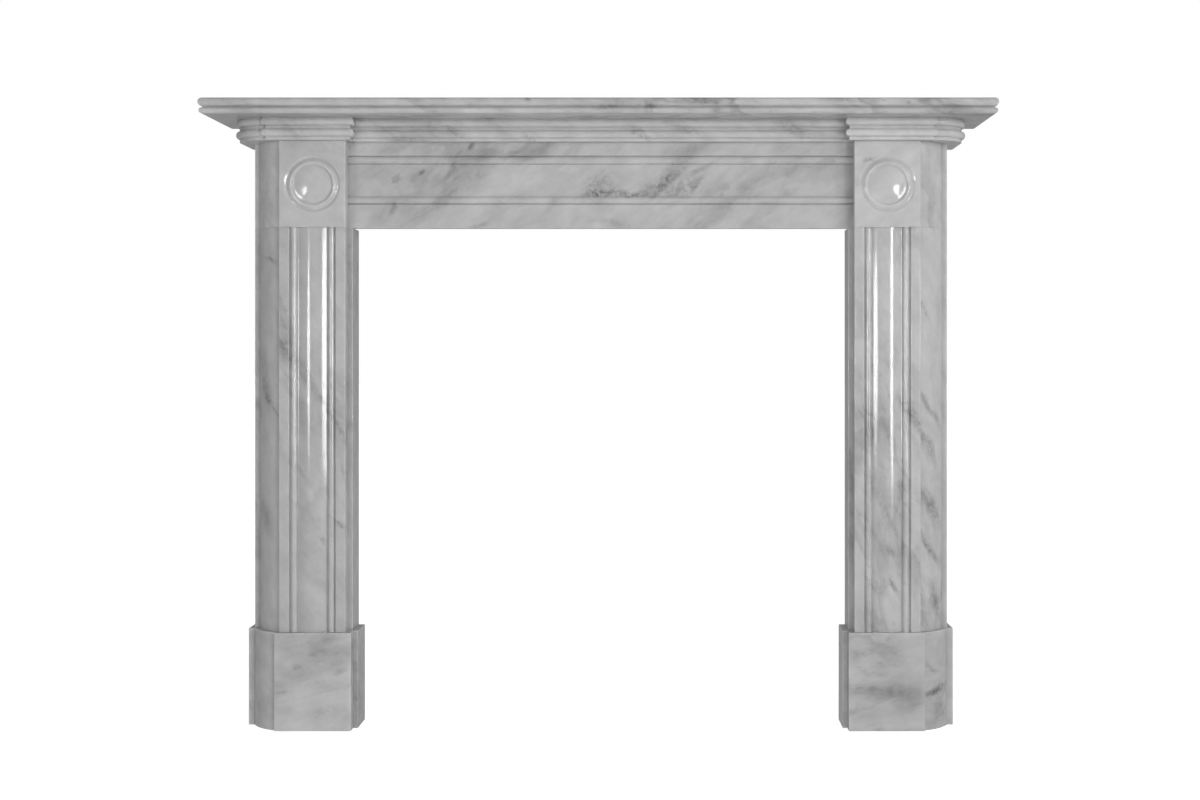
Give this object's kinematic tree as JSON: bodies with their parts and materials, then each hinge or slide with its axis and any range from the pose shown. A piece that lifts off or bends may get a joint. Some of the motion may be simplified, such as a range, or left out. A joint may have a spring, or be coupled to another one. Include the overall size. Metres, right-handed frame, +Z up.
{
  "type": "fireplace mantelpiece",
  "caption": "Grey-white marble mantelpiece with reeded jambs, round outer corners, roundel corner blocks, a beaded frieze and a moulded shelf, made to stand against a chimney breast.",
  "frame": {"origin": "middle of the footprint of the shelf, on the floor", "axes": "+X along the shelf, seen from the room to the right, +Y from the room to the wall, +Z up"},
  "size_m": [1.503, 0.229, 1.2045],
  "materials": {
    "marble": "polished grey-white marble with soft grey veins"
  },
  "bodies": {
    "root": {"left_plinth_front": "marble", "left_plinth_corner": "marble", "left_plinth_outer_return": "marble", "left_plinth_inner_return": "marble", "left_jamb_front": "marble", "left_jamb_corner": "marble", "left_jamb_outer_return": "marble", "left_jamb_inner_return": "marble", "left_block_front": "marble", "left_block_corner": "marble", "left_block_outer_return": "marble", "left_capital_front": "marble", "left_capital_corner": "marble", "right_plinth_front": "marble", "right_plinth_corner": "marble", "right_plinth_outer_return": "marble", "right_plinth_inner_return": "marble", "right_jamb_front": "marble", "right_jamb_corner": "marble", "right_jamb_outer_return": "marble", "right_jamb_inner_return": "marble", "right_block_front": "marble", "right_block_corner": "marble", "right_block_outer_return": "marble", "right_capital_front": "marble", "right_capital_corner": "marble", "frieze_panel": "marble", "frieze_bed_mould": "marble", "mantel_shelf": "marble"}
  },
  "joints": []
}
